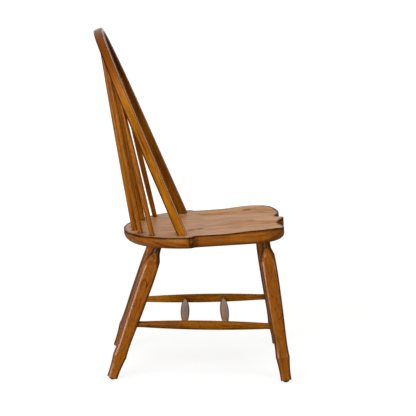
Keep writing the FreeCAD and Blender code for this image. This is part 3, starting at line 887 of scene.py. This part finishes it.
    def glaze_shares(self, fibres: Fibres) -> tuple[Socket, Socket]:
        """How much dark glaze and painted shade there is in joints, between pieces, on the neck,
        in marks, and along corners or rims.

        Args:
            fibres: Where the point lies in the wood.

        Returns:
            The share of all the glaze and painted shade, and that of the thick dull part alone.
        """
        graph = fibres.graph
        broken = BREAKS.level(fibres)
        # Dark where other pieces stand close: glaze in the joints and painted shade between
        # pieces.
        closed_in = graph.rise(graph.hollow_share(self.closeness), *CLOSED_IN)
        thick = graph.times(closed_in, JOINT_AND_SHADE_SHARE)
        # The neck under the seat is darkened: glaze and painted shade.
        if self.neck:
            arched = graph.scaled(graph.times(fibres.across, NECK_ARCH), fibres.across,
                                  fibres.along)
            neck = graph.rise(arched, *(edge - self.neck for edge in NECK_EDGE))
            thick = graph.larger(thick, graph.times(neck, NECK_SHADE_SHARE))
        for mark in self.marks:
            thick = graph.larger(thick, mark.share(fibres, broken))
        if self.glaze is Glaze.RIM:
            rim = graph.rise(graph.rim_share(RIM_REACH), *SEAT_RIM)
            thick = graph.larger(thick, graph.times(rim, RIM_SHARE))
        share = thick
        if self.glaze is Glaze.CORNERS:
            share = graph.larger(share, self.corner_share(fibres))
        return graph.math("MULTIPLY", share, BREAKS.eased(graph, broken), clamp=True), thick

    def section(self, fibres: Fibres) -> tuple[Socket, Socket]:
        """Distances from the middle of the section, across and through, as if it were square."""
        wide, deep = map(fibres.graph.size, (fibres.across, fibres.through))
        return fibres.graph.times(wide, CUTS[self.figure].flat), deep

    def corner_ratio(self, fibres: Fibres) -> Socket:
        """How near a point is to a corner of the section.

        Args:
            fibres: Where the point lies in the wood.

        Returns:
            0 at the middle of a face, 1 at a corner.
        """
        graph = fibres.graph
        wide, deep = self.section(fibres)
        nearest = graph.math("MINIMUM", wide, deep)
        return graph.math("DIVIDE", nearest, graph.larger(graph.larger(wide, deep), 0.001))

    def front_corner(self, fibres: Fibres) -> Socket:
        """How much a point lies on a front corner, where a pale highlight is painted, the glaze is
        kept off and the coat shines more.
        """
        corner = fibres.graph.rise(self.corner_ratio(fibres), *FRONT_CORNER_LINE)
        return fibres.graph.times(corner, fibres.graph.rise(fibres.through, *FRONT_CORNER_SIDE))

    def corner_share(self, fibres: Fibres) -> Socket:
        """The glaze and painted shade along the corners of a squared section, and the painted
        shade on some faces.

        Args:
            fibres: Where the point lies in the wood.

        Returns:
            How dark it is, from 0 to 1.
        """
        graph = fibres.graph
        ratio = self.corner_ratio(fibres)
        if self.figure is Figure.BENT:
            share = graph.times(graph.rise(ratio, *HOOP_CORNER), HOOP_CORNER_SHARE)
            # The glaze is kept off the front corners, so that the painted highlight shows.
            kept = graph.scaled(self.front_corner(fibres), -CLEARED_SHARE, 1.0)
            share = graph.times(share, kept)
            aside = graph.rise(fibres.across, *HOOP_INSIDE_SHADE)
        else:
            share = graph.times(graph.rise(ratio, *LEG_CORNER), LEG_CORNER_SHARE)
            aside = graph.rise(graph.minus(*self.section(fibres)), *LEG_SIDE_SHADE)
        # Painted shade on the faces that look fore and aft, or inwards on the hoop.
        share = graph.larger(share, graph.times(aside, self.shaded))
        if self.nose:
            below = graph.rise(fibres.along, *(edge - self.nose for edge in NOSE_EDGE))
            share = graph.times(share, below)
        return share

    def varnish(self, fibres: Fibres, relief: Socket, dull: Socket) -> None:
        """Satin varnish that is a little uneven, over the fine relief of the fibres.

        Args:
            fibres: Where the point lies in the wood.
            relief: The height of the fibres and pores.
            dull: How much thick glaze and painted shade lies on it, which takes its shine away.
        """
        graph = fibres.graph
        handled = HANDLING.level(replace(fibres, seed=0.0))
        middle = self.roughness - UNEVEN_SHINE / 2
        graph.set("Roughness", graph.scaled(handled, UNEVEN_SHINE, middle))
        # The plain values stay in the sockets for tools that leave a linked one out.
        graph.set("Specular IOR Level", self.gloss)
        graph.set("Specular IOR Level", graph.scaled(dull, -DULLED_GLOSS * self.gloss, self.gloss))
        graph.set("Coat Weight", self.coat)
        graph.set("Coat Roughness", self.coat_roughness)
        graph.bump(relief)
        if not self.coat:
            return
        coat = graph.scaled(dull, -DULLED_COAT * self.coat, self.coat)
        if self.burnish:
            line = graph.times(self.front_corner(fibres), self.burnish)
            coat = graph.math("ADD", coat, line, clamp=True)
        if self.crown:
            coat = graph.larger(coat, graph.rise(graph.size(fibres.along), *CROWN_SHINE))
        graph.set("Coat Weight", coat)


@dataclass(frozen=True)
class PlainFinish:
    """A moulded or metal surface with a fine unevenness.

    Attributes:
        colour: Its main colour.
        worn: The colour of its worn or scratched places.
        metallic: 1 for bare metal.
        roughness: How matt it is.
        grain: How fine the unevenness is, per metre.
    """

    colour: Colour
    worn: Colour
    metallic: float
    roughness: float
    grain: float

    def material(self, name: str) -> bpy.types.Material:
        """Builds the material.

        Args:
            name: The material's name.

        Returns:
            The material.
        """
        graph = Surface(name)
        place = graph.place()
        fine = graph.noise(place, self.grain, 4.0, 0.6)
        coarse = graph.noise(place, self.grain / 6.0, 2.0)
        patches = graph.rise(coarse, 0.5, 0.75)
        graph.set("Base Color", graph.blend(patches, self.colour, self.worn))
        graph.set("Metallic", self.metallic)
        graph.set("Roughness", graph.scaled(fine, 0.2, self.roughness - 0.1))
        graph.bump(fine)
        return graph.material


def dress(piece: Piece, material: bpy.types.Material) -> None:
    """Gives every slot of a piece one material.

    Args:
        piece: The object.
        material: Its new material.
    """
    if not piece.material_slots:
        piece.data.materials.append(material)
    for place in piece.material_slots:
        place.material = material
    log.info("%s wears %s", piece.name, material.name)


@dataclass
class Legs:
    """Four squared legs, shaped on every face and turned to a neck under the seat.

    Attributes:
        names: The pieces' names.
        finish: The finish that they share.
        arched: The leg on which a growth ring makes an arch.
        arch: That arch.
        seed: What each leg's pattern is moved by from the last one's.
    """

    names: tuple[str, ...] = ("leg_front_left", "leg_front_right", "leg_rear_left",
                              "leg_rear_right")
    finish: WoodFinish = WoodFinish(AMBER, Figure.SQUARED, Glaze.CORNERS, coat=0.9,
                                    coat_roughness=0.24, gloss=0.04, neck=0.052, nose=0.105,
                                    shaded=0.62)
    arched: str = "leg_rear_left"
    arch: Mark = Mark(-0.172, 0.002, 0.035, 0.0125, strength=0.6, arch=True)
    seed: float = 11.0

    def build(self, nodes: Pieces) -> None:
        """Dresses each leg along its own axis.

        Args:
            nodes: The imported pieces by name.
        """
        for count, name in enumerate(self.names):
            grain = Grain.of_piece(nodes[name], BACKWARDS)
            finish = replace(self.finish, marks=(self.arch,) if name == self.arched else ())
            dress(nodes[name], finish.material(name + "_wood", grain, self.seed * (count + 1)))


@dataclass
class Stretchers:
    """Two side stretchers and two cross stretchers, each turned to a swell.

    Attributes:
        side: The finish of the side stretchers.
        cross: The glossier finish of the cross stretchers.
        finishes: What each piece wears. The left side's stick is painted darker and the right
            side's paler, as painted shade and painted light for how each is lit.
        seeds: What the first pattern is moved by, and each next one from the last.
    """

    side: WoodFinish = WoodFinish(SHADED_AMBER, Figure.TURNED, Glaze.JOINTS, coat=0.10, gloss=0.06)
    cross: WoodFinish = WoodFinish(AMBER, Figure.TURNED, Glaze.JOINTS, coat=0.36, gloss=0.08)
    # The left stick's darker tones are painted shade, the right one's paler tones painted light.
    finishes: tuple[tuple[str, WoodFinish], ...] = (
        ("side_stretcher_left", side), ("side_stretcher_right", replace(side, tones=BRIGHT)),
        ("cross_stretcher_front", cross), ("cross_stretcher_rear", cross))
    seeds: Span = (53.0, 7.0)

    def build(self, nodes: Pieces) -> None:
        """Dresses each stretcher along its own axis.

        Args:
            nodes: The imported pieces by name.
        """
        for count, (name, finish) in enumerate(self.finishes):
            grain = Grain.of_piece(nodes[name], UPWARDS)
            seed = self.seeds[0] + self.seeds[1] * count
            dress(nodes[name], finish.material(name + "_wood", grain, seed))


@dataclass
class Back:
    """The bent hoop and the spindles that stand between it and the seat.

    Attributes:
        hoop_finish: The hoop's finish.
        hoop_grain: The bend that its fibres follow.
        hoop_seed: What its pattern is moved by.
        spindle_finish: The finish that the spindles share.
        seeds: What the first spindle's pattern is moved by, and each next one from the last.
    """

    hoop_finish: WoodFinish = WoodFinish(BRIGHT, Figure.BENT, Glaze.CORNERS, coat=0.05, gloss=0.04,
                                         burnish=0.95, shaded=0.45, crown=0.92)
    hoop_grain: BentGrain = BentGrain()
    hoop_seed: float = 5.0
    spindle_finish: WoodFinish = WoodFinish(HONEY, Figure.TURNED, Glaze.JOINTS, coat=0.08,
                                            closeness=0.026)
    seeds: Span = (91.0, 13.0)

    def build(self, nodes: Pieces) -> None:
        """Dresses the hoop and each spindle.

        Args:
            nodes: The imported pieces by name.
        """
        hoop_wood = self.hoop_finish.material("bow_wood", self.hoop_grain, self.hoop_seed)
        dress(nodes["bow"], hoop_wood)
        spindles = sorted(name for name in nodes if name.startswith("spindle"))
        for count, name in enumerate(spindles):
            grain = Grain.of_piece(nodes[name], SIDEWAYS)
            seed = self.seeds[0] + self.seeds[1] * count
            dress(nodes[name], self.spindle_finish.material(name + "_wood", grain, seed))


@dataclass
class Seat:
    """The carved seat board, its grain running from back to front.

    Attributes:
        middle: The middle of the flat board's top.
        tilt: How far the board tips up at the front.
        finish: Its stain, with its streak and its knots, and a line of painted shade down the side
            at each shoulder.
        seed: What its pattern is moved by.
    """

    middle: Vector = Vector((0.0, -0.0238, 0.4415))
    tilt: float = math.radians(3.7)
    finish: WoodFinish = WoodFinish(
        BROAD, Figure.BOARD, Glaze.RIM, roughness=0.40, coat=0.0, gloss=0.24, worn=0.66,
        closeness=0.028,
        marks=(Mark(-0.0280, -0.1159, 0.020, 0.0110, turn=19.0, strength=0.85),
               Mark(-0.0010, -0.0865, 0.030, 0.0070, turn=60.0, strength=0.9),
               Mark(0.1500, 0.1675, 0.020, 0.0125, strength=0.55),
               Mark(0.1552, -0.0162, 0.018, 0.0100, strength=0.4),
               # Painted shade: a dark line down the side wall at each shoulder, where the wall
               # turns.
               Mark(-0.033, -0.228, 0.0030, 0.030, strength=0.55),
               Mark(-0.033, 0.228, 0.0030, 0.030, strength=0.55)))
    seed: float = 2.0

    def build(self, nodes: Pieces) -> None:
        """Dresses the seat along its tilted board.

        Args:
            nodes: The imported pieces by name.
        """
        along = Vector((0.0, -math.cos(self.tilt), math.sin(self.tilt)))
        grain = Grain(self.middle, along, SIDEWAYS)
        dress(nodes["seat"], self.finish.material("seat_wood", grain, self.seed))


@dataclass
class Feet:
    """Moulded glides under the legs, and the nails that hold them.

    Attributes:
        moulding: The glides' finish.
        steel: The nails' finish.
    """

    moulding: PlainFinish = PlainFinish(colour=(0.012, 0.008, 0.006), worn=(0.05, 0.035, 0.025),
                                        metallic=0.0, roughness=0.45, grain=900.0)
    steel: PlainFinish = PlainFinish(colour=(0.48, 0.47, 0.45), worn=(0.30, 0.27, 0.24),
                                     metallic=1.0, roughness=0.35, grain=1500.0)

    def build(self, nodes: Pieces) -> None:
        """Dresses the glides and their nails.

        Args:
            nodes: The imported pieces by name.
        """
        moulding = self.moulding.material("glide_moulding")
        steel = self.steel.material("nail_steel")
        for name, piece in sorted(nodes.items()):
            if name.startswith("glide_nail"):
                dress(piece, steel)
            elif name.startswith("glide"):
                dress(piece, moulding)


def put(name: str, data: bpy.types.ID) -> Piece:
    """Puts a new object in the scene.

    Args:
        name: Its name.
        data: Its mesh, lamp or camera.

    Returns:
        The object.
    """
    thing = bpy.data.objects.new(name, data)
    bpy.context.scene.collection.objects.link(thing)
    return thing


@dataclass(frozen=True)
class Lamp:
    """A soft square lamp.

    Attributes:
        name: Its name.
        place: Where it hangs.
        side: Its side in metres.
        power: Its power in watts.
    """

    name: str
    place: Place
    side: float
    power: float

    def hang(self, target: Place) -> None:
        """Hangs the lamp, turned to what it lights.

        Args:
            target: The point that it looks at.
        """
        data = bpy.data.lights.new(self.name, "AREA")
        data.shape = "SQUARE"
        data.size = self.side
        data.energy = self.power
        lamp = put(self.name, data)
        lamp.location = self.place
        forward = Vector(target) - Vector(self.place)
        lamp.rotation_euler = forward.to_track_quat("-Z", "Y").to_euler()


@dataclass
class Studio:
    """The pale floor, the soft lamps and the camera at the photograph's place.

    Attributes:
        focal: Focal length in pixels of the square image.
        stand: The camera's place.
        yaw: Turn of the view about the upright, from straight across the chair.
        pitch: How far the view looks down.
        lamps: The soft lamps.
        target: The point that the lamps look at.
        air: Colour of the light from all round.
        bright_side: The direction that most of it comes from.
        air_turn: How far towards that side it begins to grow, and where it is strongest.
        air_levels: How strong it is at those two.
        floor_side: Distance from the floor's middle to its sides.
        paper: The floor's grey.
        flag: The darker grey that the varnish mirrors in front of the camera's side.
        flag_edge: Where the mirrored floor begins to darken, and where it is darkest.
        glow_reach: Distances from the chair over which the floor's own white grows.
        glow: That white near the chair, where it keeps the shadow, and far from it.
    """

    focal: float = 1333.58
    stand: Place = (-4.0, 0.0035, 1.1838)
    yaw: float = 0.01293
    pitch: float = 0.1727
    lamps: tuple[Lamp, ...] = (
        Lamp("lamp_high", (-0.9, -0.2, 3.0), side=2.0, power=33.0),
        Lamp("lamp_left", (-2.6, 1.9, 1.2), side=2.4, power=105.0),
        Lamp("lamp_right", (-2.5, -2.0, 1.6), side=1.8, power=20.0))
    target: Place = (0.0, 0.0, 0.45)
    air: Colour = (1.0, 0.97, 0.94)
    bright_side: Place = (1.0, 0.45, 0.0)
    air_turn: Span = (-0.6, 0.9)
    air_levels: Span = (0.03, 0.75)
    floor_side: float = 60.0
    paper: Colour = (0.30, 0.30, 0.30)
    flag: Colour = (0.03, 0.03, 0.03)
    flag_edge: Span = (0.3, -0.5)
    glow_reach: Span = (0.6, 3.0)
    glow: Span = (0.79, 1.0)

    def build(self) -> None:
        """Sets the world, the floor, the lamps and the camera."""
        bpy.context.scene.view_settings.view_transform = "Standard"
        self.sky()
        self.floor()
        for lamp in self.lamps:
            lamp.hang(self.target)
        self.camera()

    def sky(self) -> None:
        """Gives the world a soft light that the camera sees as white."""
        world = bpy.data.worlds.new("studio_air")
        bpy.context.scene.world = world
        graph = Graph(world)
        seen = graph.add("ShaderNodeBackground")
        graph.feed(seen.inputs, (1, 1, 1, 1), 1.0)
        way = graph.add("ShaderNodeTexCoord").outputs["Generated"]
        level = graph.rise(graph.dot(way, self.bright_side), *self.air_turn, *self.air_levels)
        light = graph.add("ShaderNodeBackground")
        graph.feed(light.inputs, (*self.air, 1), level)
        mix = graph.add("ShaderNodeMixShader")
        rays = graph.add("ShaderNodeLightPath")
        graph.feed(mix.inputs, rays.outputs["Is Camera Ray"], light.outputs[0], seen.outputs[0])
        graph.link(mix.outputs[0], graph.add("ShaderNodeOutputWorld").inputs["Surface"])

    def floor(self) -> None:
        """Lays a wide pale floor that keeps the chair's shadow."""
        side = np.array([-self.floor_side, self.floor_side])
        across, along = np.meshgrid(side, side)
        points = np.stack([across.ravel(), along.ravel(), np.zeros(4)], 1)
        mesh = bpy.data.meshes.new("floor")
        mesh.from_pydata(points.tolist(), [], [(0, 1, 3, 2)])
        floor = put("floor", mesh)
        graph = Surface("floor_paper")
        rays = graph.add("ShaderNodeLightPath").outputs
        place = graph.place()
        flagged = graph.times(rays["Is Glossy Ray"],
                              graph.rise(graph.dot(place, SIDEWAYS), *self.flag_edge))
        graph.set("Base Color", graph.blend(flagged, self.paper, self.flag))
        graph.set("Roughness", 0.9)
        graph.set("Specular IOR Level", 0.1)
        distance = graph.vector("LENGTH", place).outputs["Value"]
        white = graph.rise(distance, *self.glow_reach, *self.glow)
        graph.set("Emission Color", (1, 1, 1, 1))
        graph.set("Emission Strength", graph.times(rays["Is Camera Ray"], white))
        floor.data.materials.append(graph.material)

    def camera(self) -> None:
        """Stands the camera where the photograph was taken from."""
        data = bpy.data.cameras.new("camera")
        data.sensor_width = SENSOR
        data.lens = self.focal / IMAGE_SIDE * SENSOR
        camera = put("camera", data)
        forward = Vector((math.cos(self.yaw) * math.cos(self.pitch),
                          -math.sin(self.yaw) * math.cos(self.pitch), -math.sin(self.pitch)))
        right = Vector((-math.sin(self.yaw), -math.cos(self.yaw), 0.0))
        upward = right.cross(forward)
        turn = Matrix((right, upward, -forward)).transposed()
        camera.matrix_world = Matrix.Translation(self.stand) @ turn.to_4x4()
        bpy.context.scene.camera = camera


def main() -> None:
    """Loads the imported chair, dresses every piece and sets the studio."""
    logging.basicConfig(level=logging.INFO, format="%(name)s: %(message)s")
    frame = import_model()
    nodes = frame["nodes"]
    for part in (Seat(), Back(), Legs(), Stretchers(), Feet()):
        part.build(nodes)
        log.info("%s is dressed", type(part).__name__)
    Studio().build()


if __name__ == "__main__":
    main()
